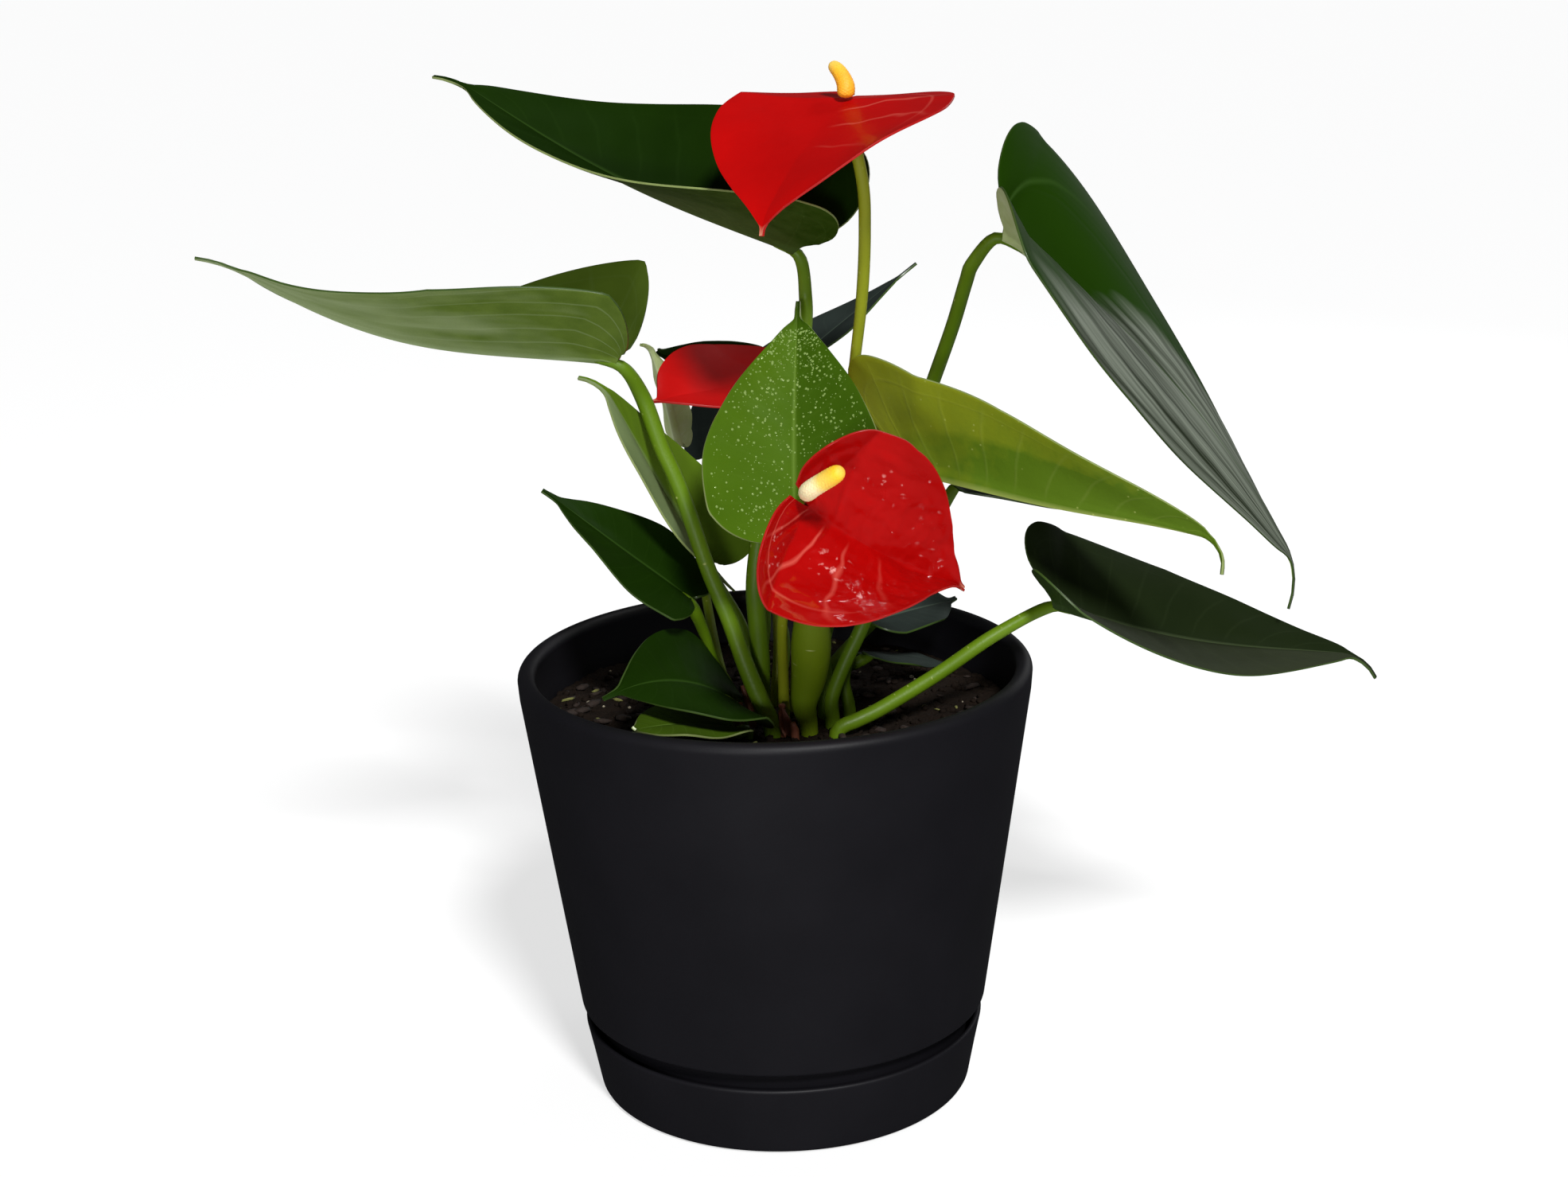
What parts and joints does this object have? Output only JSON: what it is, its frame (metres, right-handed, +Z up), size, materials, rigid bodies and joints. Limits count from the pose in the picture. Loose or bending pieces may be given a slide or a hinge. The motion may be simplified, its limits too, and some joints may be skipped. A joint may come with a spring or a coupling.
{
  "type": "potted anthurium",
  "caption": "Potted anthurium with red spathes, yellow spadices and long heart-shaped leaves on thin stalks, growing in peat in a black plastic grow pot that stands on a shallow saucer.",
  "frame": {"origin": "centre of the saucer's flat underside, where the plant stands on a surface", "axes": "+Z up along the pot's axis, +X to the right and -Y toward the front of the plant, the side that the picture shows"},
  "size_m": [0.2921, 0.1657, 0.2624],
  "materials": {
    "black_plastic": "satin",
    "peat": "matte",
    "dark_leaf": "satin",
    "green_leaf": "satin",
    "fresh_leaf": "satin",
    "pale_leaf": "satin",
    "red_spathe": "gloss",
    "yellow_spadix": "matte",
    "olive_stalk": "satin",
    "brown_sheath": "matte"
  },
  "bodies": {
    "root": {"saucer": "black_plastic", "pot": "black_plastic", "soil": "peat", "leaf_top_left": "dark_leaf", "leaf_far_left": "green_leaf", "leaf_centre": "fresh_leaf", "leaf_right_pale": "pale_leaf", "leaf_hanging": "dark_leaf", "leaf_low_right": "dark_leaf", "leaf_mid_left": "fresh_leaf", "leaf_low_left": "dark_leaf", "leaf_in_pot_left": "dark_leaf", "leaf_in_pot_front": "fresh_leaf", "leaf_back": "dark_leaf", "leaf_narrow": "pale_leaf", "leaf_sliver": "dark_leaf", "leaf_pot_back": "dark_leaf", "leaf_pot_thin": "dark_leaf", "leaf_behind_bloom": "dark_leaf", "bloom_top_spathe": "red_spathe", "bloom_top_stalk": "olive_stalk", "bloom_top_spadix": "yellow_spadix", "bloom_centre_spathe": "red_spathe", "bloom_centre_stalk": "olive_stalk", "bloom_centre_spadix": "yellow_spadix", "bloom_back_spathe": "red_spathe", "bloom_back_stalk": "olive_stalk", "bloom_back_spadix": "yellow_spadix", "sheath_left": "brown_sheath", "sheath_front": "brown_sheath"}
  },
  "joints": []
}
